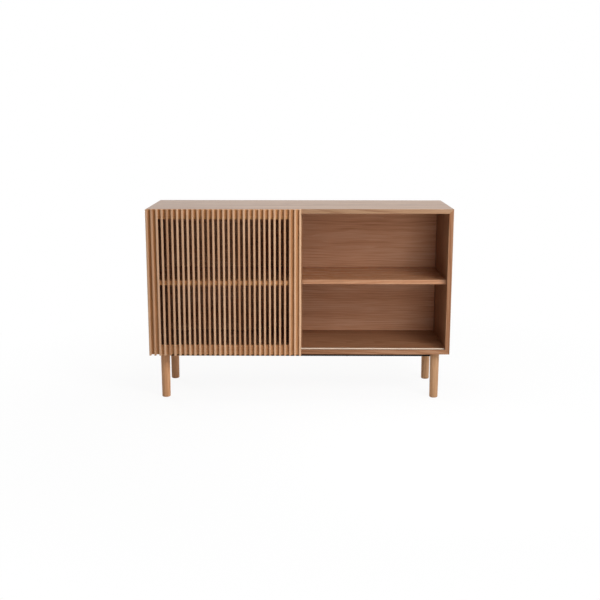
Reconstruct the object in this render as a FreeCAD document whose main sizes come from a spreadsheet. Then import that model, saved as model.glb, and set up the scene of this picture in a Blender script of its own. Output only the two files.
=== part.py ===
import FreeCAD, Part

import math
import os

import Sketcher

# Oak sideboard on round legs, with one slatted door that rolls along its front.
# Lengths are millimetres. +X is to the right, the front faces -Y and +Z is up. The origin lies on the
# floor, below the middle of the overall box. The door stands at the left end of its travel.

SLAT_COUNT = 31

# Driving dimensions: alias, value and what it measures.
SIZES = [
    ("carcass_width", 1200, "outside width of the box"),
    ("carcass_depth", 380, "front edge to rear edge of the boards"),
    ("carcass_height", 583, "outside height of the box"),
    ("board_thickness", 18, "top, bottom and side boards"),
    ("arris_round", 0.8, "softened arrises of the boards"),
    ("joint_fit", 0.1, "play of glued joints and of fasteners in their holes"),
    ("spline_thickness", 4, "loose tongue across a mitre"),
    ("spline_width", 15, "tongue, measured across the mitre"),
    ("spline_inset", 6.5, "inner corner to tongue, along either board"),
    ("spline_stop", 20, "front edge, or back panel, to the tongue's end"),
    ("back_thickness", 9, "back panel"),
    ("back_recess", 18, "rear edges of the boards to the back panel"),
    ("back_groove_depth", 6, "groove that holds the back panel"),
    ("inner_setback", 35, "front edge of the box to the divider and shelves"),
    ("divider_thickness", 18, "centre divider"),
    ("housing_depth", 5, "divider let into top and bottom"),
    ("shelf_thickness", 18, "both shelves"),
    ("shelf_clearance", 0.5, "play at the ends and the back of a shelf"),
    ("lower_clear", 262, "bottom panel to the underside of the shelves"),
    ("pin_diameter", 5, "shelf pin"),
    ("pin_reach", 8, "pin standing out under the shelf"),
    ("pin_end_gap", 0.5, "pin's inner end to the middle of the divider"),
    ("pin_margin", 40, "front and rear edge of the divider to the pins"),
    ("leg_length", 192, "floor to the underside of the box"),
    ("leg_diameter", 37, "round leg at its top"),
    ("foot_diameter", 34, "round leg at its foot"),
    ("leg_inset", 52, "leg's axis to the sides, front and rear of the box"),
    ("foot_round", 4, "rounded arris of the foot"),
    ("dowel_screw_diameter", 8, "double-ended leg screw"),
    ("dowel_screw_up", 13, "leg screw inside the bottom panel"),
    ("dowel_screw_down", 35, "leg screw inside the leg"),
    ("stiffener_height", 18, "steel tube under the bottom"),
    ("stiffener_depth", 20, "steel tube, front to rear"),
    ("stiffener_wall", 1.5, "wall of the steel tube"),
    ("stiffener_end_gap", 1, "tube's end to the leg"),
    ("bar_screw_spacing", 384, "the two screws of the tube"),
    ("bar_screw_diameter", 4.5, "shank of a tube screw"),
    ("bar_screw_head", 9, "head of a tube screw, across"),
    ("bar_screw_head_height", 2.2, "head of a tube screw, deep"),
    ("bar_screw_depth", 12, "tube screw inside the bottom panel"),
    ("track_setback", 11, "front edge of the box to the track"),
    ("track_width", 23, "aluminium track"),
    ("track_thickness", 2.5, "track's base, let in flush"),
    ("track_end_gap", 1, "track's end to the side panel"),
    ("bead_width", 3, "running bead of the track"),
    ("bead_height", 2.4, "bead above the bottom panel"),
    ("bead_round", 1, "rounded arrises of the bead"),
    ("roller_radius", 9, "flanges of a roller"),
    ("roller_width", 8, "roller along its axle"),
    ("roller_groove_depth", 2, "groove that straddles the bead"),
    ("roller_side_play", 0.4, "groove's wall to the bead"),
    ("rolling_gap", 0.3, "bottom of the groove to the bead"),
    ("roller_inset", 34, "door's edge to the roller's axis"),
    ("axle_diameter", 6, "axle inside a roller"),
    ("axle_play", 0.05, "radial play on the axle"),
    ("axle_end_play", 0.3, "roller to the axle's shoulder and head"),
    ("axle_shoulder", 10, "shoulder between plate and roller, across"),
    ("axle_head", 9, "riveted head behind the roller, across"),
    ("axle_head_height", 1.5, "riveted head, deep"),
    ("bracket_width", 20, "roller plate across"),
    ("bracket_thickness", 2, "roller plate"),
    ("bracket_below", 8, "axle to the plate's lower edge"),
    ("bracket_above", 34, "axle to the plate's upper edge"),
    ("bracket_screw_rise", 15, "axle to the lower plate screw"),
    ("fixing_pitch", 12, "the two screws of a plate or guide"),
    ("guide_groove_width", 9, "groove under the top panel"),
    ("guide_groove_depth", 8, "groove under the top panel"),
    ("guide_groove_margin", 4, "groove's end to the side panel"),
    ("guide_pin_diameter", 8, "peg in the groove"),
    ("guide_reach", 6, "peg inside the groove"),
    ("stop_gap", 0.3, "rubber stop to the peg at the door's limit"),
    ("guide_gap", 4, "guide's arm to the top panel"),
    ("guide_width", 20, "guide across"),
    ("guide_height", 34, "guide's plate"),
    ("guide_plate", 3, "thickness of the guide's plate"),
    ("guide_arm", 4, "thickness of the guide's arm"),
    ("guide_lip", 2, "arm behind the peg"),
    ("guide_screw_rise", 6, "lower edge of the guide to its lower screw"),
    ("door_screw_diameter", 3.5, "shank of a plate or guide screw"),
    ("door_screw_head", 7, "head of a plate or guide screw, across"),
    ("door_screw_head_height", 2, "head of a plate or guide screw, deep"),
    ("door_screw_depth", 11, "screw inside the stile"),
    ("door_width", 605, "slatted door"),
    ("door_gap", 2, "box to the back of the door"),
    ("frame_thickness", 16, "stiles and rails of the door"),
    ("stile_width", 45, "door stile"),
    ("top_rail_height", 38, "door's top rail"),
    ("mid_rail_height", 18, "door's middle rail"),
    ("bottom_rail_height", 39, "door's bottom rail"),
    ("slat_overhang", 3, "slats below the frame"),
    ("tenon_length", 20, "tenon inside a stile"),
    ("tenon_thickness", 6, "tenon, front to rear"),
    ("tenon_shoulder", 4, "edge of a rail to its tenon"),
    ("slat_width", 8, "slat across"),
    ("slat_depth", 10, "slat, front to rear"),
    ("slat_round", 1.5, "rounded front arrises of a slat"),
]

doc = FreeCAD.newDocument("sliding_door_cabinet")
dims = doc.addObject("Spreadsheet::Sheet", "dims")
for row, (alias, value, meaning) in enumerate(SIZES, 1):
    dims.set(f"A{row}", meaning)
    dims.set(f"B{row}", str(value))
    dims.setAlias(f"B{row}", alias)
doc.recompute()

# Places that several pieces share, as expressions of the driving dimensions.
HALF_WIDTH = "(dims.carcass_width / 2)"
INNER_X = f"({HALF_WIDTH} - dims.board_thickness)"
FRONT = "((dims.door_gap + dims.frame_thickness + dims.slat_depth - dims.carcass_depth) / 2)"
INSIDE_FRONT = f"({FRONT} + dims.inner_setback)"
TO_BACK_PANEL = "(dims.carcass_depth - dims.back_recess - dims.back_thickness)"
INSIDE_DEPTH = f"({TO_BACK_PANEL} - dims.inner_setback)"
FLOOR = "(dims.leg_length + dims.board_thickness)"
ROOF = "(dims.leg_length + dims.carcass_height)"
CEILING = f"({ROOF} - dims.board_thickness)"
MID_HEIGHT = "(dims.leg_length + dims.carcass_height / 2)"
SHELF_UNDERSIDE = f"({FLOOR} + dims.lower_clear)"
LEG_X = f"({HALF_WIDTH} - dims.leg_inset)"
TRACK_LINE = "(dims.track_setback + dims.track_width / 2)"
ROLLING_RADIUS = "(dims.roller_radius - dims.roller_groove_depth)"
AXLE_HEIGHT = f"({FLOOR} + dims.bead_height + dims.rolling_gap + {ROLLING_RADIUS})"
DOOR_BACK = f"({FRONT} - dims.door_gap)"
FRAME_FRONT = f"({DOOR_BACK} - dims.frame_thickness)"
FRAME_BOTTOM = "(dims.leg_length + dims.slat_overhang)"
FRAME_HEIGHT = "(dims.carcass_height - dims.slat_overhang)"
GUIDE_BOTTOM = f"({CEILING} - dims.guide_gap - dims.guide_height)"

ALONG_X = FreeCAD.Vector(1, 0, 0)
ALONG_Y = FreeCAD.Vector(0, 1, 0)

# Differences in place below this length count as none.
SMALL = 0.001

nodes = []


def piece(label, x="0", y="0", z="0", axis=ALONG_X, degrees=0):
    """New body whose own origin stands at the given place, turned about one axis."""
    body = doc.addObject("PartDesign::Body", label)
    body.Placement = FreeCAD.Placement(FreeCAD.Vector(), FreeCAD.Rotation(axis, degrees))
    for name, place in zip("xyz", (x, y, z)):
        body.setExpression(f"Placement.Base.{name}", place)
    return body


def node(item):
    """Marks a body or a group as one named part of the cabinet."""
    nodes.append(item)
    return item


def group(label, bodies):
    """Named part made of several separate solids."""
    compound = doc.addObject("Part::Compound", label)
    compound.Links = bodies
    return node(compound)


def bind(sketch, constraint, expression):
    """Adds a constraint whose value follows an expression."""
    index = sketch.addConstraint(constraint)
    sketch.setExpression(f"Constraints[{index}]", expression)


def add_polygon(sketch, points):
    """Closed outline through points, each held by its two distances from the sketch's origin."""
    first = sketch.GeometryCount
    count = len(points)
    turn = 2 * math.pi / count
    ring = [FreeCAD.Vector(math.cos(turn * i), math.sin(turn * i), 0) for i in range(count)]
    for i in range(count):
        sketch.addGeometry(Part.LineSegment(ring[i], ring[(i + 1) % count]), False)
    for i, (across, up) in enumerate(points):
        following = first + (i + 1) % count
        sketch.addConstraint(Sketcher.Constraint("Coincident", first + i, 2, following, 1))
        bind(sketch, Sketcher.Constraint("DistanceX", -1, 1, first + i, 1, 1.0), across)
        bind(sketch, Sketcher.Constraint("DistanceY", -1, 1, first + i, 1, 1.0), up)


def add_circle(sketch, across, up, diameter):
    """Circle held by its centre's two distances from the sketch's origin."""
    index = sketch.addGeometry(Part.Circle(FreeCAD.Vector(), FreeCAD.Vector(0, 0, 1), 1), False)
    bind(sketch, Sketcher.Constraint("DistanceX", -1, 1, index, 3, 1.0), across)
    bind(sketch, Sketcher.Constraint("DistanceY", -1, 1, index, 3, 1.0), up)
    bind(sketch, Sketcher.Constraint("Diameter", index, 2.0), diameter)


def draw(body, name, plane, start, polygons=(), circles=()):
    """Sketch on one of the body's own planes, moved by start along the axis across it."""
    sketch = body.newObject("Sketcher::SketchObject", f"{body.Name}_{name}_sketch")
    support = next(item for item in body.Origin.OriginFeatures if item.Role == plane)
    sketch.AttachmentSupport = [(support, "")]
    sketch.MapMode = "FlatFace"
    sign = "-" if plane == "XZ_Plane" else ""
    sketch.setExpression("AttachmentOffset.Base.z", f"{sign}({start})")
    for points in polygons:
        add_polygon(sketch, points)
    for circle in circles:
        add_circle(sketch, *circle)
    return sketch


def pad(body, name, plane, start, length, polygons=(), circles=()):
    """Adds the outlines, from start for the given length towards the plus side of the axis."""
    feature = body.newObject("PartDesign::Pad", f"{body.Name}_{name}")
    feature.Profile = draw(body, name, plane, start, polygons, circles)
    feature.Reversed = plane == "XZ_Plane"
    feature.setExpression("Length", length)
    return feature


def cut(body, name, plane, start, length, polygons=(), circles=()):
    """Takes the outlines away, from start for the given length towards the plus side of the axis."""
    doc.recompute()
    before = body.Shape.Volume
    feature = body.newObject("PartDesign::Pocket", f"{body.Name}_{name}")
    feature.Profile = draw(body, name, plane, start, polygons, circles)
    feature.Reversed = plane != "XZ_Plane"
    feature.setExpression("Length", length)
    doc.recompute()
    if not body.Shape.Volume < before:
        raise RuntimeError(f"{feature.Name} takes nothing away")
    return feature


def turned(body, name, profile):
    """Solid of revolution about the body's own Z axis, from a profile of radius and height."""
    sketch = draw(body, name, "XZ_Plane", "0", [profile])
    feature = body.newObject("PartDesign::Revolution", f"{body.Name}_{name}")
    feature.Profile = sketch
    feature.ReferenceAxis = (sketch, ["V_Axis"])
    feature.Angle = 360
    return feature


def round_edges(body, name, radius, chosen):
    """Rounds the edges of the body that the chosen test accepts."""
    doc.recompute()
    base = body.Tip
    names = [f"Edge{i}" for i, edge in enumerate(base.Shape.Edges, 1) if chosen(edge)]
    feature = body.newObject("PartDesign::Fillet", f"{body.Name}_{name}")
    feature.Base = (base, names)
    feature.setExpression("Radius", radius)
    return feature


def runs_along(edge, axis):
    """True for a straight edge parallel to the named axis."""
    box = edge.BoundBox
    lengths = {"x": box.XLength, "y": box.YLength, "z": box.ZLength}
    return lengths.pop(axis) > SMALL and max(lengths.values()) < SMALL


def at_front(edge):
    """True for an edge in the body's own plane y = 0."""
    return edge.BoundBox.YMax < SMALL


def rectangle(left, low, right, high):
    """Corners of an upright rectangle, as expressions."""
    return [(left, low), (right, low), (right, high), (left, high)]


# Boards of the box. A board's own inner face lies at z = 0 and its outer face above it, its length runs
# along x and its front edge lies at y = 0. Turned about y, the same board makes all four sides.
SPLINE_LENGTH = f"({TO_BACK_PANEL} - 2 * dims.spline_stop)"


def spline_outline(corner, side, fit):
    """Section of the tongue that crosses a mitre at right angles, placed from the inner corner."""
    half_thick = f"(dims.spline_thickness / 2 + {fit}) * sqrt(0.5)"
    half_wide = f"(dims.spline_width / 2 + {fit}) * sqrt(0.5)"
    points = []
    for thick_sign, wide_sign in (("+", "+"), ("-", "+"), ("-", "-"), ("+", "-")):
        reach = f"dims.spline_inset {thick_sign} {half_thick}"
        other = "-" if wide_sign == "+" else "+"
        across = f"{side} * ({corner} + {reach} {other} {half_wide})"
        points.append((across, f"{reach} {wide_sign} {half_wide}"))
    return points


def mitred_board(label, length, place, degrees):
    """Board with 45 degree ends, slots for the tongues and a groove for the back panel."""
    board = piece(label, *place, axis=ALONG_Y, degrees=degrees)
    half = f"({length} / 2)"
    inner = f"({half} - dims.board_thickness)"
    section = [
        (f"-{inner}", "0"),
        (inner, "0"),
        (half, "dims.board_thickness"),
        (f"-{half}", "dims.board_thickness"),
    ]
    pad(board, "board", "XZ_Plane", "0", "dims.carcass_depth", [section])
    round_edges(board, "arrises", "dims.arris_round", lambda edge: runs_along(edge, "x"))
    slots = [spline_outline(inner, side, "dims.joint_fit") for side in (1, -1)]
    slot_start = "dims.spline_stop - dims.joint_fit"
    cut(board, "spline_slots", "XZ_Plane", slot_start, f"{SPLINE_LENGTH} + 2 * dims.joint_fit", slots)
    groove_depth = "(dims.back_groove_depth + dims.joint_fit)"
    groove = rectangle(
        f"-{inner} - {groove_depth}",
        f"{TO_BACK_PANEL} - dims.joint_fit",
        f"{inner} + {groove_depth}",
        f"{TO_BACK_PANEL} + dims.back_thickness + dims.joint_fit",
    )
    cut(board, "back_groove", "XY_Plane", "0", groove_depth, [groove])
    return node(board)


def divider_housing(board):
    """Shallow trench across a board, from the divider's front edge to the back panel."""
    half = "(dims.divider_thickness / 2 + dims.joint_fit)"
    trench = rectangle(f"-{half}", "dims.inner_setback - dims.joint_fit", half, TO_BACK_PANEL)
    cut(board, "divider_housing", "XY_Plane", "0", "dims.housing_depth + dims.joint_fit", [trench])


TOP_PLACE = ("0", FRONT, CEILING)
BOTTOM_PLACE = ("0", FRONT, FLOOR)
top_panel = mitred_board("top_panel", "dims.carcass_width", TOP_PLACE, 0)
divider_housing(top_panel)
groove_end = f"({INNER_X} - dims.guide_groove_margin)"
guide_groove = rectangle(
    f"-{groove_end}",
    f"{TRACK_LINE} - dims.guide_groove_width / 2",
    groove_end,
    f"{TRACK_LINE} + dims.guide_groove_width / 2",
)
cut(top_panel, "guide_groove", "XY_Plane", "0", "dims.guide_groove_depth", [guide_groove])

bottom_panel = mitred_board("bottom_panel", "dims.carcass_width", BOTTOM_PLACE, 180)
divider_housing(bottom_panel)
track_end = f"({INNER_X} - dims.track_end_gap)"
track_bed = rectangle(
    f"-{track_end}", "dims.track_setback", track_end, "dims.track_setback + dims.track_width"
)
cut(bottom_panel, "track_bed", "XY_Plane", "0", "dims.track_thickness", [track_bed])
leg_spots = [
    (f"{side} * {LEG_X}", place)
    for place in ("dims.leg_inset", "(dims.carcass_depth - dims.leg_inset)")
    for side in (-1, 1)
]
dowel_hole = "dims.dowel_screw_diameter + 2 * dims.joint_fit"
dowel_hole_depth = "(dims.dowel_screw_up + dims.joint_fit)"
cut(
    bottom_panel, "leg_holes", "XY_Plane", f"dims.board_thickness - {dowel_hole_depth}", dowel_hole_depth,
    circles=[(x, y, dowel_hole) for x, y in leg_spots],
)
bar_screw_spots = [f"{side} * dims.bar_screw_spacing / 2" for side in (-1, 1)]
bar_screw_hole = "dims.bar_screw_diameter + 2 * dims.joint_fit"
bar_hole_depth = "(dims.bar_screw_depth + dims.joint_fit)"
cut(
    bottom_panel, "bar_screw_holes", "XY_Plane", f"dims.board_thickness - {bar_hole_depth}", bar_hole_depth,
    circles=[(x, "dims.leg_inset", bar_screw_hole) for x in bar_screw_spots],
)

# Side panels with blind holes for the shelf pins, bored as deep as half the divider allows.
PIN_DEPTH = "(dims.divider_thickness / 2 - dims.pin_end_gap)"
PIN_HEIGHT = f"({SHELF_UNDERSIDE} - dims.pin_diameter / 2)"
pin_hole = "dims.pin_diameter + 2 * dims.joint_fit"
pin_spots = ["dims.pin_margin", f"({INSIDE_DEPTH} - dims.pin_margin)"]
for label, side in (("left_side_panel", -1), ("right_side_panel", 1)):
    place = (f"{side} * {INNER_X}", FRONT, MID_HEIGHT)
    side_panel = mitred_board(label, "dims.carcass_height", place, 90 * side)
    height = f"{side} * ({MID_HEIGHT} - {PIN_HEIGHT})"
    holes = [(height, f"dims.inner_setback + {spot}", pin_hole) for spot in pin_spots]
    cut(side_panel, "pin_holes", "XY_Plane", "0", f"{PIN_DEPTH} + dims.joint_fit", circles=holes)

# Loose tongues, in the same frames as the top and bottom boards whose mitres they cross.
splines = []
for label, place, degrees in (("top_spline", TOP_PLACE, 0), ("bottom_spline", BOTTOM_PLACE, 180)):
    for side in (1, -1):
        spline = piece(f"{label}_{len(splines) + 1}", *place, axis=ALONG_Y, degrees=degrees)
        pad(
            spline, "tongue", "XZ_Plane", "dims.spline_stop", SPLINE_LENGTH,
            [spline_outline(INNER_X, side, "0")],
        )
        splines.append(spline)
group("mitre_splines", splines)

# Back panel, held in the grooves of all four boards.
groove = "dims.back_groove_depth"
back_panel = piece(
    "back_panel", f"-{INNER_X} - {groove}", f"{FRONT} + {TO_BACK_PANEL}", f"{FLOOR} - {groove}"
)
back_outline = rectangle("0", "0", f"2 * ({INNER_X} + {groove})", f"{CEILING} - {FLOOR} + 2 * {groove}")
pad(back_panel, "sheet", "XZ_Plane", "0", "dims.back_thickness", [back_outline])
node(back_panel)

# Divider, housed in top and bottom, with holes right through for the pins of both shelves.
divider_foot = f"({FLOOR} - dims.housing_depth)"
centre_divider = piece("centre_divider", "-dims.divider_thickness / 2", INSIDE_FRONT, divider_foot)
divider_outline = rectangle(
    "0", "0", "dims.divider_thickness", f"{CEILING} - {FLOOR} + 2 * dims.housing_depth"
)
pad(centre_divider, "board", "XZ_Plane", "0", INSIDE_DEPTH, [divider_outline])
round_edges(
    centre_divider, "arrises", "dims.arris_round", lambda edge: at_front(edge) and runs_along(edge, "z")
)
cut(
    centre_divider, "pin_holes", "YZ_Plane", "0", "dims.divider_thickness",
    circles=[(spot, f"{PIN_HEIGHT} - {divider_foot}", pin_hole) for spot in pin_spots],
)
node(centre_divider)

# Shelves, loose on four pins each.
bay = f"({INNER_X} - dims.divider_thickness / 2)"
shelf_length = f"({bay} - 2 * dims.shelf_clearance)"
shelf_starts = {
    "left_shelf": f"-{INNER_X} + dims.shelf_clearance",
    "right_shelf": "dims.divider_thickness / 2 + dims.shelf_clearance",
}
for label, start in shelf_starts.items():
    shelf = piece(label, start, INSIDE_FRONT, SHELF_UNDERSIDE)
    outline = rectangle("0", "0", shelf_length, "dims.shelf_thickness")
    pad(shelf, "board", "XZ_Plane", "0", f"{INSIDE_DEPTH} - dims.shelf_clearance", [outline])
    round_edges(shelf, "arrises", "dims.arris_round", lambda edge: at_front(edge) and runs_along(edge, "x"))
    node(shelf)

pin_starts = [
    f"-{INNER_X} - {PIN_DEPTH}",
    "-dims.divider_thickness / 2 - dims.pin_reach",
    f"dims.divider_thickness / 2 - {PIN_DEPTH}",
    f"{INNER_X} - dims.pin_reach",
]
pins = []
for start in pin_starts:
    for spot in pin_spots:
        pin = piece(f"shelf_pin_{len(pins) + 1}", start, f"{INSIDE_FRONT} + {spot}", PIN_HEIGHT)
        pin_length = f"{PIN_DEPTH} + dims.pin_reach"
        pad(pin, "rod", "YZ_Plane", "0", pin_length, circles=[("0", "0", "dims.pin_diameter")])
        pins.append(pin)
group("shelf_pins", pins)

# Legs, bored from the top for their double-ended screws.
leg_names = ["front_left_leg", "front_right_leg", "rear_left_leg", "rear_right_leg"]
leg_bore_depth = "(dims.dowel_screw_down + dims.joint_fit)"
leg_screws = []
for label, (x, y) in zip(leg_names, leg_spots):
    leg = piece(label, x, f"{FRONT} + {y}", "0")
    stem = [
        ("0", "0"),
        ("dims.foot_diameter / 2", "0"),
        ("dims.leg_diameter / 2", "dims.leg_length"),
        ("0", "dims.leg_length"),
    ]
    turned(leg, "stem", stem)
    round_edges(leg, "foot", "dims.foot_round", lambda edge: edge.BoundBox.ZMax < SMALL)
    cut(
        leg, "bore", "XY_Plane", f"dims.leg_length - {leg_bore_depth}", leg_bore_depth,
        circles=[("0", "0", dowel_hole)],
    )
    node(leg)
    screw = piece(f"{label}_screw", x, f"{FRONT} + {y}", "dims.leg_length")
    radius = "dims.dowel_screw_diameter / 2"
    profile = [
        ("0", "-dims.dowel_screw_down"),
        (radius, f"-dims.dowel_screw_down + {radius}"),
        (radius, f"dims.dowel_screw_up - {radius}"),
        ("0", "dims.dowel_screw_up"),
    ]
    turned(screw, "screw", profile)
    leg_screws.append(screw)
group("leg_dowel_screws", leg_screws)


# Steel tube between the front legs, with two screws up through it into the bottom panel.
def pan_screw(label, place, degrees, sizes, length):
    """Pan-head screw along its own z axis, its head above z = 0 and its point below."""
    screw = piece(label, *place, degrees=degrees)
    radius = f"dims.{sizes}_diameter / 2"
    head = f"dims.{sizes}_head / 2"
    head_height = f"dims.{sizes}_head_height"
    profile = [
        ("0", f"-{length}"),
        (radius, f"-{length} + {radius}"),
        (radius, "0"),
        (head, "0"),
        (head, f"{head_height} / 2"),
        (f"{head} - {head_height} / 2", head_height),
        ("0", head_height),
    ]
    turned(screw, "screw", profile)
    return screw


tube_half = f"({LEG_X} - dims.leg_diameter / 2 - dims.stiffener_end_gap)"
tube_front = f"({FRONT} + dims.leg_inset - dims.stiffener_depth / 2)"
tube_bottom = "(dims.leg_length - dims.stiffener_height)"
front_stiffener = piece("front_stiffener", f"-{tube_half}", tube_front, tube_bottom)
outer = rectangle("0", "0", "dims.stiffener_depth", "dims.stiffener_height")
hollow = rectangle(
    "dims.stiffener_wall",
    "dims.stiffener_wall",
    "dims.stiffener_depth - dims.stiffener_wall",
    "dims.stiffener_height - dims.stiffener_wall",
)
pad(front_stiffener, "tube", "YZ_Plane", "0", f"2 * {tube_half}", [outer, hollow])
cut(
    front_stiffener, "screw_holes", "XY_Plane", "0", "dims.stiffener_height",
    circles=[(f"{tube_half} + {x}", "dims.stiffener_depth / 2", bar_screw_hole) for x in bar_screw_spots],
)
node(front_stiffener)
bar_screw_length = "(dims.stiffener_height + dims.bar_screw_depth)"
bar_screws = []
for x in bar_screw_spots:
    place = (x, f"{FRONT} + dims.leg_inset", tube_bottom)
    label = f"bar_screw_{len(bar_screws) + 1}"
    bar_screws.append(pan_screw(label, place, 180, "bar_screw", bar_screw_length))
group("stiffener_screws", bar_screws)

# Aluminium track, its base flush in the bottom panel and its bead standing up for the rollers.
bottom_track = piece("bottom_track", f"-{track_end}", f"{FRONT} + dims.track_setback", FLOOR)
bead_front = "(dims.track_width - dims.bead_width) / 2"
bead_rear = "(dims.track_width + dims.bead_width) / 2"
track_section = [
    ("0", "-dims.track_thickness"),
    ("dims.track_width", "-dims.track_thickness"),
    ("dims.track_width", "0"),
    (bead_rear, "0"),
    (bead_rear, "dims.bead_height"),
    (bead_front, "dims.bead_height"),
    (bead_front, "0"),
    ("0", "0"),
]
pad(bottom_track, "strip", "YZ_Plane", "0", f"2 * {track_end}", [track_section])
round_edges(
    bottom_track, "bead", "dims.bead_round",
    lambda edge: runs_along(edge, "x") and edge.BoundBox.ZMin > dims.bead_height / 2,
)
node(bottom_track)

# Rubber stops that fill both ends of the guide groove and meet the pegs.
stop_reach = "(dims.roller_inset - dims.board_thickness - dims.guide_groove_margin)"
stop_length = f"({stop_reach} - dims.guide_pin_diameter / 2 - dims.stop_gap)"
stop_half = "(dims.guide_groove_width / 2 - dims.joint_fit)"
stops = []
for start in (f"-{groove_end}", f"{groove_end} - {stop_length}"):
    stop = piece(f"groove_stop_{len(stops) + 1}", start, f"{FRONT} + {TRACK_LINE}", CEILING)
    section = rectangle(f"-{stop_half}", "0", stop_half, "dims.guide_groove_depth")
    pad(stop, "block", "YZ_Plane", "0", stop_length, [section])
    stops.append(stop)
group("groove_end_stops", stops)

# Door frame: stiles with mortises, rails with tenons. Each fitting sits at the same inset on both stiles.
rail_length = "(dims.door_width - 2 * dims.stile_width)"
rail_feet = {
    "top": f"({FRAME_HEIGHT} - dims.top_rail_height)",
    "mid": f"(({FRAME_HEIGHT} - dims.mid_rail_height) / 2)",
    "bottom": "0",
}
tenon_front = "(dims.frame_thickness - dims.tenon_thickness) / 2"
door_left = f"(-{HALF_WIDTH})"
bracket_screw_heights = [
    f"({AXLE_HEIGHT} + dims.bracket_screw_rise)",
    f"({AXLE_HEIGHT} + dims.bracket_screw_rise + dims.fixing_pitch)",
]
guide_screw_heights = [
    f"({GUIDE_BOTTOM} + dims.guide_screw_rise)",
    f"({GUIDE_BOTTOM} + dims.guide_screw_rise + dims.fixing_pitch)",
]
door_screw_hole = "dims.door_screw_diameter + 2 * dims.joint_fit"
door_hole_depth = "(dims.door_screw_depth + dims.joint_fit)"

mortise_depth = "(dims.tenon_length + dims.joint_fit)"
mortises = []
for rail, foot in rail_feet.items():
    mortises.append(
        rectangle(
            f"{tenon_front} - dims.joint_fit",
            f"{foot} + dims.tenon_shoulder - dims.joint_fit",
            f"{tenon_front} + dims.tenon_thickness + dims.joint_fit",
            f"{foot} + dims.{rail}_rail_height - dims.tenon_shoulder + dims.joint_fit",
        )
    )
stile_starts = {
    "door_left_stile": (door_left, f"dims.stile_width - {mortise_depth}", "dims.roller_inset"),
    "door_right_stile": (
        f"{door_left} + dims.door_width - dims.stile_width",
        "0",
        "dims.stile_width - dims.roller_inset",
    ),
}
for label, (start, mortise_start, fitting) in stile_starts.items():
    stile = piece(label, start, FRAME_FRONT, FRAME_BOTTOM)
    outline = rectangle("0", "0", "dims.stile_width", FRAME_HEIGHT)
    pad(stile, "board", "XZ_Plane", "0", "dims.frame_thickness", [outline])
    cut(stile, "mortises", "YZ_Plane", mortise_start, mortise_depth, mortises)
    holes = [
        (fitting, f"{height} - {FRAME_BOTTOM}", door_screw_hole)
        for height in bracket_screw_heights + guide_screw_heights
    ]
    cut(
        stile, "screw_holes", "XZ_Plane", f"dims.frame_thickness - {door_hole_depth}", door_hole_depth,
        circles=holes,
    )
    node(stile)

for rail, foot in rail_feet.items():
    beam = piece(
        f"door_{rail}_rail", f"{door_left} + dims.stile_width", FRAME_FRONT, f"{FRAME_BOTTOM} + {foot}"
    )
    rail_height = f"dims.{rail}_rail_height"
    outline = rectangle("0", "0", rail_length, rail_height)
    pad(beam, "beam", "XZ_Plane", "0", "dims.frame_thickness", [outline])
    tenons = rectangle(
        "-dims.tenon_length",
        "dims.tenon_shoulder",
        f"{rail_length} + dims.tenon_length",
        f"{rail_height} - dims.tenon_shoulder",
    )
    pad(beam, "tenons", "XZ_Plane", tenon_front, "dims.tenon_thickness", [tenons])
    node(beam)

# Slats, glued upright on the frame at an even pitch from edge to edge of the door.
slat_pitch = f"(dims.door_width - dims.slat_width) / {SLAT_COUNT - 1}"
for number in range(SLAT_COUNT):
    place = (f"{door_left} + {number} * {slat_pitch}", f"{FRAME_FRONT} - dims.slat_depth", "dims.leg_length")
    slat = piece(f"slat_{number + 1:02d}", *place)
    section = rectangle("0", "0", "dims.slat_width", "dims.slat_depth")
    pad(slat, "bar", "XY_Plane", "0", "dims.carcass_height", [section])
    round_edges(slat, "arrises", "dims.slat_round", lambda edge: at_front(edge) and runs_along(edge, "z"))
    node(slat)

# Running gear. Each roller turns on an axle riveted to a plate behind a stile, and each guide carries a peg
# in the groove of the top panel.
roller_front = f"(dims.door_gap + {TRACK_LINE} - dims.roller_width / 2)"
roller_rear = f"({roller_front} + dims.roller_width)"
axle_start = f"({roller_front} - dims.axle_end_play)"
axle_end = f"({roller_rear} + dims.axle_end_play)"
fitting_lines = {
    "left": f"({door_left} + dims.roller_inset)",
    "right": f"({door_left} + dims.door_width - dims.roller_inset)",
}
flange = "(dims.roller_width - dims.bead_width) / 2 - dims.roller_side_play"
bore = "(dims.axle_diameter / 2 + dims.axle_play)"
roller_profile = [
    (bore, "0"),
    ("dims.roller_radius", "0"),
    ("dims.roller_radius", flange),
    (ROLLING_RADIUS, flange),
    (ROLLING_RADIUS, f"dims.roller_width - ({flange})"),
    ("dims.roller_radius", f"dims.roller_width - ({flange})"),
    ("dims.roller_radius", "dims.roller_width"),
    (bore, "dims.roller_width"),
]
brackets = []
guides = []
door_screws = []
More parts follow.
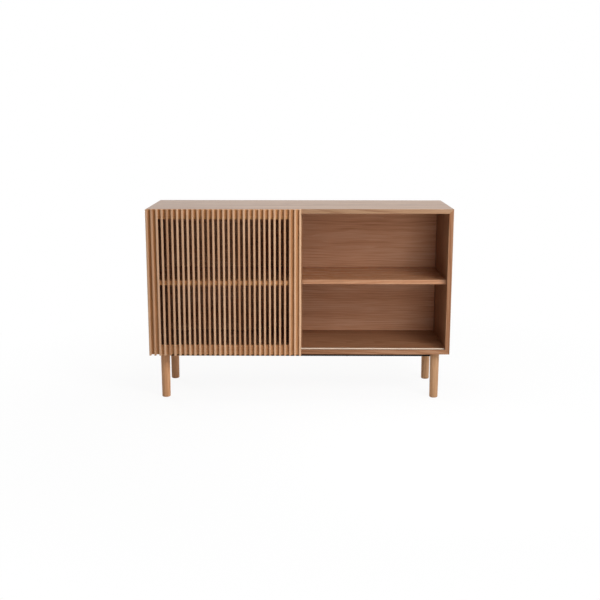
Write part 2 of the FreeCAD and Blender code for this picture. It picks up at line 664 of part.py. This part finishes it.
for side, line in fitting_lines.items():
    bracket = piece(f"{side}_bracket", line, DOOR_BACK, AXLE_HEIGHT)
    half = "dims.bracket_width / 2"
    plate = rectangle(f"-{half}", "-dims.bracket_below", half, "dims.bracket_above")
    pad(bracket, "plate", "XZ_Plane", "0", "dims.bracket_thickness", [plate])
    shoulder_length = f"{axle_start} - dims.bracket_thickness"
    pad(
        bracket, "shoulder", "XZ_Plane", "dims.bracket_thickness", shoulder_length,
        circles=[("0", "0", "dims.axle_shoulder")],
    )
    pad(
        bracket, "axle", "XZ_Plane", axle_start, f"{axle_end} - {axle_start}",
        circles=[("0", "0", "dims.axle_diameter")],
    )
    pad(
        bracket, "head", "XZ_Plane", axle_end, "dims.axle_head_height",
        circles=[("0", "0", "dims.axle_head")],
    )
    cut(
        bracket, "screw_holes", "XZ_Plane", "0", "dims.bracket_thickness",
        circles=[("0", f"{height} - {AXLE_HEIGHT}", door_screw_hole) for height in bracket_screw_heights],
    )
    brackets.append(bracket)

    roller = piece(f"{side}_roller", line, f"{DOOR_BACK} + {roller_front}", AXLE_HEIGHT, degrees=-90)
    turned(roller, "wheel", roller_profile)
    node(roller)

    guide = piece(f"{side}_guide", f"{line} - dims.guide_width / 2", DOOR_BACK, GUIDE_BOTTOM)
    peg_line = f"(dims.door_gap + {TRACK_LINE})"
    arm_end = f"{peg_line} + dims.guide_pin_diameter / 2 + dims.guide_lip"
    hook = [
        ("0", "0"),
        ("dims.guide_plate", "0"),
        ("dims.guide_plate", "dims.guide_height - dims.guide_arm"),
        (arm_end, "dims.guide_height - dims.guide_arm"),
        (arm_end, "dims.guide_height"),
        ("0", "dims.guide_height"),
    ]
    pad(guide, "hook", "YZ_Plane", "0", "dims.guide_width", [hook])
    peg = ("dims.guide_width / 2", peg_line, "dims.guide_pin_diameter")
    pad(guide, "peg", "XY_Plane", "dims.guide_height", "dims.guide_gap + dims.guide_reach", circles=[peg])
    cut(
        guide, "screw_holes", "XZ_Plane", "0", "dims.guide_plate",
        circles=[
            ("dims.guide_width / 2", f"{height} - {GUIDE_BOTTOM}", door_screw_hole)
            for height in guide_screw_heights
        ],
    )
    guides.append(guide)

    for thickness, heights in (
        ("dims.bracket_thickness", bracket_screw_heights),
        ("dims.guide_plate", guide_screw_heights),
    ):
        for height in heights:
            place = (line, f"{DOOR_BACK} + {thickness}", height)
            length = f"({thickness} + dims.door_screw_depth)"
            label = f"door_screw_{len(door_screws) + 1}"
            door_screws.append(pan_screw(label, place, -90, "door_screw", length))
group("roller_brackets", brackets)
group("top_guides", guides)
group("door_screws", door_screws)

# Every object has to be sound before anything is written.
doc.recompute()
faults = [item.Label for item in doc.Objects if "Invalid" in item.State or "Error" in item.State]
faults += [item.Label for item in nodes if item.Shape.isNull() or not item.Shape.isValid()]
if faults:
    raise RuntimeError("failed objects: " + ", ".join(faults))
os.makedirs("parts", exist_ok=True)
for item in nodes:
    item.Shape.exportStep(f"parts/{item.Label}.step")
print(len(nodes), "nodes,", sum(len(item.Shape.Solids) for item in nodes), "solids")
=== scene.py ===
import math

import bpy
import numpy as np
from mathutils import Matrix, Vector


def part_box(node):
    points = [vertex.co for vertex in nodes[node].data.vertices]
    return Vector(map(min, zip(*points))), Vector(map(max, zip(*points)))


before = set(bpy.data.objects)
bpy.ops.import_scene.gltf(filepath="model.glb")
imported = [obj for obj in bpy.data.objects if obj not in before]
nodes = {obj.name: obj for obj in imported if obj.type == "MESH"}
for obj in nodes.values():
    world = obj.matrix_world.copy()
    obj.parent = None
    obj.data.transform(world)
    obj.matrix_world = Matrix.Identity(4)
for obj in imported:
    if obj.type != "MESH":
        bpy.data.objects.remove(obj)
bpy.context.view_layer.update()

# The box: four oak boards, 18 mm thick, mitred at the corners so that the figure turns the corner.
# Flat-sawn white oak, planed, sanded and oiled: long streaks of open pores, arches where the saw leaves
# the rings at a slant, and a soft sheen. The right side and the bottom are coloured somewhat darker than the
# rest.
MM = 1000


def linear(code):
    """sRGB hex colour as linear red, green, blue and alpha."""
    channels = [int(code[i:i + 2], 16) / 255 for i in (1, 3, 5)]
    return [c / 12.92 if c <= 0.04045 else ((c + 0.055) / 1.055) ** 2.4 for c in channels] + [1.0]


def fill(tree, node, inputs):
    """Fills a node's inputs. One that is a socket is linked, any other is a value."""
    for key, value in inputs.items():
        if isinstance(value, bpy.types.NodeSocket):
            tree.links.new(value, node.inputs[key])
        else:
            node.inputs[key].default_value = value


def add(tree, kind, inputs, stops=(), **settings):
    """Adds a node with its settings and inputs, and a ramp with its stops."""
    node = tree.nodes.new(kind)
    for name, value in settings.items():
        setattr(node, name, value)
    fill(tree, node, inputs)
    for number, (place, shade) in enumerate(stops):
        if number > 1:
            node.color_ramp.elements.new(place)
        node.color_ramp.elements[number].position = place
        node.color_ramp.elements[number].color = shade
    return node


def new_material(name):
    """Empty node material: its tree, its surface shader and the socket with the place on the piece."""
    material = bpy.data.materials.new(name)
    material.use_nodes = True
    tree = material.node_tree
    place = add(tree, "ShaderNodeTexCoord", {}).outputs["Object"]
    return material, tree, tree.nodes["Principled BSDF"], place


def grain_scale(along, lengthwise, crosswise):
    """Mapping scale, per metre, of a pattern this many millimetres long and wide, run along one axis."""
    scale = [MM / crosswise] * 3
    scale["XYZ".index(along)] = MM / lengthwise
    return scale


# Millimetres along and across the grain of the trunk's bends, of the streaks and of the clouds of colour.
# Pores are 0.3 mm wide, too fine for the picture, so they are drawn as streaks of 3 mm.
BENDS = (700, 75)
STREAKS = (130, 3)
CLOUDS = (900, 60)
# The bends shift the grain by up to this many rings. A year starts with a dark band of open pores and ends
# with dense pale wood: its parts, each with its paleness.
WANDER = 5.0
YEAR = ((0.0, 0.25), (0.16, 0.0), (0.45, 0.85), (1.0, 1.0))
# Streaks and clouds have equal shares in the tone, and the shift brings its mean to about 0.5, where the
# ground colour stands between those of pores and late wood. Sticks differ by up to the spread.
NOISE_SHARE = 0.75
TONE_SHIFT = -0.23
TONE_PLACES = (0.12, 0.5, 0.88)
STICK_SPREAD = 0.5
# The oil dries duller over the pores, which are felt as shallow dents.
SHEEN_DRIFT = 0.1
PORE_RELIEF = 0.25
PORE_DEPTH = 0.3 / MM
OIL_IOR = 1.45


def oak(name, along, pith, tones, ring=7, slant=18, figure=0.26, gloss=0.45, shine=0.2, batch=None):
    """Oiled oak whose grain runs along one axis.

    Each year's growth is a shell round the pith, stretched lengthwise by slant, so that a board cut out of
    it shows straight lines at its sides and arches in its middle. pith is a place in millimetres, ring the
    width of a year in millimetres, and tones the colours of pores, ground and pale late wood. figure is how
    strongly the years show, gloss the roughness of the oiled face and shine its level of reflection. batch
    is the axis, start and pitch in millimetres of like pieces that are each cut from another stick.
    """
    material, tree, shader, place = new_material(name)

    shells = grain_scale(along, ring * slant, ring)
    centre = [-at * scale / MM for at, scale in zip(pith, shells)]
    from_pith = add(tree, "ShaderNodeMapping", {"Vector": place, "Scale": shells, "Location": centre})
    years = add(tree, "ShaderNodeVectorMath", {0: from_pith.outputs[0]}, operation="LENGTH")
    bends = add(tree, "ShaderNodeMapping", {"Vector": place, "Scale": grain_scale(along, *BENDS)})
    wander = add(tree, "ShaderNodeTexNoise", {"Vector": bends.outputs[0], "Scale": 1.0, "Detail": 3.0})
    bent = add(
        tree, "ShaderNodeMath", {0: wander.outputs[0], 1: WANDER, 2: years.outputs["Value"]},
        operation="MULTIPLY_ADD",
    )
    season = add(tree, "ShaderNodeMath", {0: bent.outputs[0]}, operation="FRACT")
    growth = add(
        tree, "ShaderNodeValToRGB", {0: season.outputs[0]},
        stops=[(part, (paleness, paleness, paleness, 1)) for part, paleness in YEAR],
    )

    fine = add(tree, "ShaderNodeMapping", {"Vector": place, "Scale": grain_scale(along, *STREAKS)})
    pores = add(tree, "ShaderNodeTexNoise", {"Vector": fine.outputs[0], "Scale": 1.0, "Detail": 2.0})
    wide = add(tree, "ShaderNodeMapping", {"Vector": place, "Scale": grain_scale(along, *CLOUDS)})
    clouds = add(tree, "ShaderNodeTexNoise", {"Vector": wide.outputs[0], "Scale": 1.0, "Detail": 1.0})

    ground = add(
        tree, "ShaderNodeMath", {0: growth.outputs[0], 1: figure, 2: TONE_SHIFT - figure / 2},
        operation="MULTIPLY_ADD",
    )
    streaked = add(
        tree, "ShaderNodeMath", {0: pores.outputs[0], 1: NOISE_SHARE, 2: ground.outputs[0]},
        operation="MULTIPLY_ADD",
    )
    tone = add(
        tree, "ShaderNodeMath", {0: clouds.outputs[0], 1: NOISE_SHARE, 2: streaked.outputs[0]},
        operation="MULTIPLY_ADD",
    )
    if batch:
        axis, start, pitch = batch
        sides = add(tree, "ShaderNodeSeparateXYZ", {0: place})
        count = add(
            tree, "ShaderNodeMath", {0: sides.outputs[axis], 1: MM / pitch, 2: -start / pitch},
            operation="MULTIPLY_ADD",
        )
        stick = add(tree, "ShaderNodeMath", {0: count.outputs[0]}, operation="FLOOR")
        chance = add(tree, "ShaderNodeTexWhiteNoise", {"W": stick.outputs[0]}, noise_dimensions="1D")
        shift = add(
            tree, "ShaderNodeMath", {0: chance.outputs[0], 1: STICK_SPREAD, 2: -STICK_SPREAD / 2},
            operation="MULTIPLY_ADD",
        )
        tone = add(tree, "ShaderNodeMath", {0: tone.outputs[0], 1: shift.outputs[0]}, operation="ADD")
    colour = add(
        tree, "ShaderNodeValToRGB", {0: tone.outputs[0]},
        stops=list(zip(TONE_PLACES, map(linear, tones))),
    )
    sheen = add(
        tree, "ShaderNodeMapRange",
        {"Value": pores.outputs[0], "To Min": gloss + SHEEN_DRIFT, "To Max": gloss - SHEEN_DRIFT},
    )
    relief = add(
        tree, "ShaderNodeBump",
        {"Height": pores.outputs[0], "Strength": PORE_RELIEF, "Distance": PORE_DEPTH},
    )
    fill(tree, shader, {
        "Base Color": colour.outputs[0],
        "Roughness": sheen.outputs[0],
        "Normal": relief.outputs[0],
        "IOR": OIL_IOR,
        "Specular IOR Level": shine,
    })
    return material


def dress(node, material):
    """Gives a piece of the cabinet its finish."""
    nodes[node].material_slots[0].material = material


BOARD_TONES = ("#744a2e", "#926446", "#a87e60")
RIGHT_TONES = ("#6b442a", "#875c40", "#9b7458")
BOTTOM_TONES = ("#70472c", "#8d6143", "#a37a5d")
TOP_TONES = ("#754f36", "#926d4f", "#a88567")
dress("top_panel", oak("top board oak", "X", (-1500, 20, 690), TOP_TONES, gloss=0.33, shine=0.45))
dress("bottom_panel", oak("bottom board oak", "X", (-1500, -40, 120), BOTTOM_TONES))
dress("left_side_panel", oak("left side oak", "Z", (-520, 30, -500), BOARD_TONES))
dress("right_side_panel", oak("right side oak", "Z", (520, -10, -600), RIGHT_TONES))

# Tongues in the mitres: four strips of birch plywood, 4 mm thick, glued into blind slots.
# Sawn plies, pale and a little coarse, with the grain of each crossing the next.
PLY = 1.3
PLY_TONES = ("#d9bf95", "#b8956a")
PLY_EDGE = (0.45, 0.55)
plywood, tree, shader, place = new_material("birch plywood")
layers = add(tree, "ShaderNodeVectorMath", {0: place, 1: (MM / PLY, 0, MM / PLY)}, operation="DOT_PRODUCT")
turn = add(tree, "ShaderNodeMath", {0: layers.outputs["Value"]}, operation="FRACT")
plies = add(
    tree, "ShaderNodeValToRGB", {0: turn.outputs[0]}, stops=list(zip(PLY_EDGE, map(linear, PLY_TONES)))
)
fill(tree, shader, {"Base Color": plies.outputs[0], "Roughness": 0.7})
dress("mitre_splines", plywood)

# Back: a 9 mm panel faced with flat-sliced oak, let into grooves all round the box.
# Its veneer shows wide rings and long arches, and was left matt.
BACK_TONES = ("#9a694a", "#bd8a6a", "#d1a488")
back_oak = oak(
    "back veneer oak", "X", (1500, 90, 630), BACK_TONES, ring=10, slant=36, figure=0.15, shine=0.05
)
dress("back_panel", back_oak)

# Divider and shelves: 18 mm oak boards, the divider housed in top and bottom, the shelves laid on pins.
# The shelves are paler and were rubbed smoother than the box, so they mirror more of what stands by them.
SHELF_TONES = ("#875736", "#aa7652", "#be916f")
dress("centre_divider", oak("divider oak", "Z", (60, 40, -400), BOARD_TONES))
dress("left_shelf", oak("left shelf oak", "X", (-1300, 40, 420), SHELF_TONES, gloss=0.25, shine=0.6))
dress("right_shelf", oak("right shelf oak", "X", (1500, -20, 420), SHELF_TONES, gloss=0.25, shine=0.6))

# Shelf pins and the double-ended screws of the legs: turned steel, zinc plated.
# The plating is bright but not polished, with a faint cloudy crystal.
CRYSTAL = 1.5
ZINC_TONES = ("#b2b4b3", "#d3d4d0")
# Almost all of a noise lies between these two values.
NOISE_RANGE = (0.3, 0.7)
zinc, tree, shader, place = new_material("zinc plated steel")
crystals = add(tree, "ShaderNodeTexNoise", {"Vector": place, "Scale": MM / CRYSTAL, "Detail": 3.0})
plating = add(
    tree, "ShaderNodeValToRGB", {0: crystals.outputs[0]},
    stops=list(zip(NOISE_RANGE, map(linear, ZINC_TONES))),
)
haze = add(tree, "ShaderNodeMapRange", {"Value": crystals.outputs[0], "To Min": 0.28, "To Max": 0.42})
fill(tree, shader, {"Base Color": plating.outputs[0], "Roughness": haze.outputs[0], "Metallic": 1.0})
for node in ("shelf_pins", "leg_dowel_screws"):
    dress(node, zinc)

# Legs: oak rounds that taper a little to the foot, turned from one stick each and screwed up against the
# bottom.
# The left legs are painted paler and the right ones darker, as painted light and shade that even out the
# lamps standing mostly at the right. A leg's pith lies beside it, on each at another depth.
PAINTED_LIGHT_LEG_TONES = ("#a47148", "#cb966c", "#deae86")
PAINTED_SHADE_LEG_TONES = ("#8b6440", "#ad8460", "#be9a79")
PITH_BESIDE = 30
PITH_STEP = 12
PITH_HEIGHT = -900
# The left legs get the paler tones as painted light, the right legs the darker ones as painted shade.
leg_painted_tones = {
    "front_left_leg": PAINTED_LIGHT_LEG_TONES,
    "front_right_leg": PAINTED_SHADE_LEG_TONES,
    "rear_left_leg": PAINTED_LIGHT_LEG_TONES,
    "rear_right_leg": PAINTED_SHADE_LEG_TONES,
}
for number, (node, tones) in enumerate(leg_painted_tones.items()):
    low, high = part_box(node)
    middle = (low + high) / 2 * MM
    pith = (middle.x + PITH_BESIDE, middle.y + PITH_STEP * (number - 1), PITH_HEIGHT)
    dress(node, oak(node.replace("_", " ") + " oak", "Z", pith, tones, ring=4, slant=30))

# Stiffener: a square steel tube between the front legs, screwed up into the bottom, powder coated black.
# The coat is matt, with the fine orange peel of a baked powder.
PEEL = 1.2
COAT_TONES = ("#0d0b09", "#16130f")
black_coat, tree, shader, place = new_material("black powder coat")
peel = add(tree, "ShaderNodeTexNoise", {"Vector": place, "Scale": MM / PEEL, "Detail": 2.0})
coat = add(
    tree, "ShaderNodeValToRGB", {0: peel.outputs[0]}, stops=list(zip(NOISE_RANGE, map(linear, COAT_TONES)))
)
dimples = add(tree, "ShaderNodeBump", {"Height": peel.outputs[0], "Strength": 0.4, "Distance": 0.2 / MM})
fill(tree, shader, {
    "Base Color": coat.outputs[0],
    "Normal": dimples.outputs[0],
    "Roughness": 0.7,
    "Specular IOR Level": 0.1,
})
for node in ("front_stiffener", "stiffener_screws"):
    dress(node, black_coat)

# Track: an extruded aluminium strip with a running bead, let in flush behind the front edge.
# Anodised in a pale satin, with the die's lines along its length. The coat scatters much of the light, so
# the strip mirrors less than bare metal; part of its pale diffuse colour is also a painted highlight that
# stands in for the front and high lamps, which it doesn't mirror.
DIE_LINES = (400, 1.5)
SATIN_AND_HIGHLIGHT_TONES = ("#e2d2c0", "#f0e2d2")
anodised, tree, shader, place = new_material("anodised aluminium")
lines = add(tree, "ShaderNodeMapping", {"Vector": place, "Scale": grain_scale("X", *DIE_LINES)})
drawn = add(tree, "ShaderNodeTexNoise", {"Vector": lines.outputs[0], "Scale": 1.0, "Detail": 2.0})
satin = add(
    tree, "ShaderNodeValToRGB", {0: drawn.outputs[0]}, stops=list(zip(NOISE_RANGE, map(linear, SATIN_AND_HIGHLIGHT_TONES)))
)
brushed = add(tree, "ShaderNodeMapRange", {"Value": drawn.outputs[0], "To Min": 0.35, "To Max": 0.5})
fill(tree, shader, {"Base Color": satin.outputs[0], "Roughness": brushed.outputs[0], "Metallic": 0.4})
dress("bottom_track", anodised)

# End stops: moulded rubber blocks, pressed into both ends of the groove under the top, which catch the pegs.
# Dull and almost black, with the grey bloom that rubber gets.
BLOOM = 6
BLOOM_RANGE = (0.3, 0.75)
RUBBER_TONES = ("#1d1c1b", "#2e2c2a")
rubber, tree, shader, place = new_material("moulded rubber")
bloom = add(tree, "ShaderNodeTexNoise", {"Vector": place, "Scale": MM / BLOOM, "Detail": 4.0})
dust = add(
    tree, "ShaderNodeValToRGB", {0: bloom.outputs[0]}, stops=list(zip(BLOOM_RANGE, map(linear, RUBBER_TONES)))
)
fill(tree, shader, {"Base Color": dust.outputs[0], "Roughness": 0.8})
dress("groove_end_stops", rubber)

# Door frame: two stiles and three rails of oak, mortised and tenoned.
# The wood was picked for its straight grain, so its pith lies far off and its rings hardly show arches.
FRAME_TONES = ("#95643d", "#b78457", "#c7966a")
dress("door_left_stile", oak("left stile oak", "Z", (-900, -120, -2000), FRAME_TONES, ring=5, slant=60))
dress("door_right_stile", oak("right stile oak", "Z", (300, -120, -2000), FRAME_TONES, ring=5, slant=60))
for node in ("door_top_rail", "door_mid_rail", "door_bottom_rail"):
    low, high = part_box(node)
    pith = (-2500, -120, MM * low.z + 350)
    dress(node, oak(node.replace("_", " ") + " oak", "X", pith, FRAME_TONES, ring=5, slant=60))

# Slats: 31 upright strips of oak, 8 by 10 mm with rounded front arrises, glued on the frame.
# They come from many sticks, so some are paler and some browner than their neighbours.
SLAT_TONES = ("#b48663", "#cba17f", "#d9b290")
slats = sorted(node for node in nodes if node.startswith("slat_"))
first, second = (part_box(node)[0].x * MM for node in slats[:2])
pitch = second - first
slat_oak = oak(
    "slat oak", "Z", (-2000, -900, -3000), SLAT_TONES, ring=3, slant=80, batch=("X", first - pitch / 4, pitch)
)
for node in slats:
    dress(node, slat_oak)

# Running gear behind the door: plated steel plates with riveted axles, grooved nylon rollers on the bead,
# nylon pegs in the groove of the top, and plated screws. The nylon is milky, with faint marks of its flow.
FLOW = 4
NYLON_TONES = ("#dcd8cc", "#ece9e0")
NYLON_IOR = 1.53
nylon, tree, shader, place = new_material("moulded nylon")
flow = add(tree, "ShaderNodeTexNoise", {"Vector": place, "Scale": MM / FLOW, "Detail": 2.0})
milk = add(
    tree, "ShaderNodeValToRGB", {0: flow.outputs[0]}, stops=list(zip(NOISE_RANGE, map(linear, NYLON_TONES)))
)
fill(tree, shader, {"Base Color": milk.outputs[0], "Roughness": 0.4, "IOR": NYLON_IOR})
for node in ("left_roller", "right_roller", "top_guides"):
    dress(node, nylon)
for node in ("roller_brackets", "door_screws"):
    dress(node, zinc)

# Floor: a white disc, 6 m across, that takes the cabinet's shadow and fades to plain white at its rim.
# It is a grid of distance from the middle by angle round it: a ring of triangles, then rings of quads.
SPREAD = 3.0
RINGS = 24
SPOKES = 96
reach = np.linspace(0.0, SPREAD, RINGS + 1)[1:, None]
angle = np.linspace(0.0, 2 * math.pi, SPOKES, endpoint=False)[None, :]
rim = np.stack([reach * np.cos(angle), reach * np.sin(angle), np.zeros((RINGS, SPOKES))], axis=-1)
points = np.concatenate([[[0.0, 0.0, 0.0]], rim.reshape(-1, 3)])
start = 1 + np.arange(SPOKES)
after = 1 + (np.arange(SPOKES) + 1) % SPOKES
hub = np.stack([np.zeros(SPOKES, dtype=int), start, after], axis=-1)
inner = SPOKES * np.arange(RINGS - 1)[:, None]
outer = inner + SPOKES
bands = np.stack([start + inner, start + outer, after + outer, after + inner], axis=-1)
floor_mesh = bpy.data.meshes.new("floor")
floor_mesh.from_pydata(points.tolist(), [], hub.tolist() + bands.reshape(-1, 4).tolist())
floor = bpy.data.objects.new("floor", floor_mesh)
scene = bpy.context.scene
scene.collection.objects.link(floor)


def to_the_eye(tree):
    """Socket that is 1 where the camera looks, also by way of gloss or glass, and 0 for all other light."""
    path = add(tree, "ShaderNodeLightPath", {})
    straight, gloss, glass = (path.outputs[f"Is {ray} Ray"] for ray in ("Camera", "Glossy", "Transmission"))
    either = add(tree, "ShaderNodeMath", {0: straight, 1: gloss}, operation="MAXIMUM")
    return add(tree, "ShaderNodeMath", {0: either.outputs[0], 1: glass}, operation="MAXIMUM").outputs[0]


# Near the cabinet the eye gets this share of plain white, and the rest from the lit floor with its shadow.
WHITE = (1, 1, 1, 1)
WHITE_NEAR = 0.92
FADE_START = 0.7
FADE_END = 0.6 * SPREAD
white_floor, tree, shader, place = new_material("white floor")
fill(tree, shader, {"Base Color": linear("#f2f2f2"), "Roughness": 0.9})
distance = add(tree, "ShaderNodeVectorMath", {0: place}, operation="LENGTH")
fade = add(
    tree, "ShaderNodeMapRange",
    {"Value": distance.outputs["Value"], "From Min": FADE_START, "From Max": FADE_END, "To Min": WHITE_NEAR},
)
share = add(tree, "ShaderNodeMath", {0: to_the_eye(tree), 1: fade.outputs[0]}, operation="MULTIPLY")
white = add(tree, "ShaderNodeEmission", {"Color": WHITE, "Strength": 1.0})
mixed = add(
    tree, "ShaderNodeMixShader", {0: share.outputs[0], 1: shader.outputs[0], 2: white.outputs[0]}
)
fill(tree, tree.nodes["Material Output"], {"Surface": mixed.outputs[0]})
floor_mesh.materials.append(white_floor)

# Studio: a small lamp near the front and a large high one, both at the right, so that the slats keep most of
# their light out of the closed half. One more hangs overhead, two low ones fill in the right side and the
# rear, and white walls stand all round.
scene.view_settings.view_transform = "Standard"


def soft_lamp(name, place, target, width, height, watts, mirrored=True):
    """Area lamp that faces a point. Where it isn't mirrored, oiled faces show the white walls instead."""
    lamp = bpy.data.lights.new(name, "AREA")
    lamp.shape = "RECTANGLE"
    lamp.size = width
    lamp.size_y = height
    lamp.energy = watts
    holder = bpy.data.objects.new(name, lamp)
    holder.visible_glossy = mirrored
    holder.location = place
    holder.rotation_euler = (Vector(target) - Vector(place)).to_track_quat("-Z", "Y").to_euler()
    scene.collection.objects.link(holder)


soft_lamp("front lamp", (0.74, -1.25, 0.75), (0.25, 0, 0.45), 0.5, 0.9, 7.5, mirrored=False)
soft_lamp("high lamp", (2.3, -3.0, 3.0), (-0.1, 0, 0.4), 1.6, 1.6, 100, mirrored=False)
soft_lamp("overhead lamp", (0.1, -0.1, 3.2), (0, 0, 0.4), 2.0, 2.0, 42)
soft_lamp("right lamp", (3.2, 0.7, 0.5), (0, 0, 0.45), 1.5, 0.5, 36)
soft_lamp("rear lamp", (-2.4, 2.4, 0.5), (0, 0, 0.45), 1.5, 0.5, 85)

WALL_LIGHT = 0.06
world = bpy.data.worlds.new("white walls")
world.use_nodes = True
scene.world = world
tree = world.node_tree
level = add(tree, "ShaderNodeMapRange", {"Value": to_the_eye(tree), "To Min": WALL_LIGHT, "To Max": 1.0})
fill(tree, tree.nodes["Background"], {"Strength": level.outputs[0], "Color": WHITE})

# Camera: 3.6 m in front of the box and a little above its top, looking a little down.
# Its place, angles and lens come from a fit to the straight edges of the cabinet in the picture.
EYE = (0.019, -3.811, 1.141)
PITCH = math.radians(11.309)
YAW = math.radians(-0.292)
ROLL = math.radians(-0.060)
FOCAL_PIXELS = 934.2
PICTURE_PIXELS = 600
camera = bpy.data.objects.new("camera", bpy.data.cameras.new("camera"))
camera.data.sensor_width = 36.0
camera.data.lens = FOCAL_PIXELS / PICTURE_PIXELS * camera.data.sensor_width
heading = Matrix.Rotation(-YAW, 4, "Z")
tilt = Matrix.Rotation(math.pi / 2 - PITCH, 4, "X")
lean = Matrix.Rotation(-ROLL, 4, "Z")
camera.matrix_world = Matrix.Translation(EYE) @ (heading @ tilt @ lean)
scene.collection.objects.link(camera)
scene.camera = camera
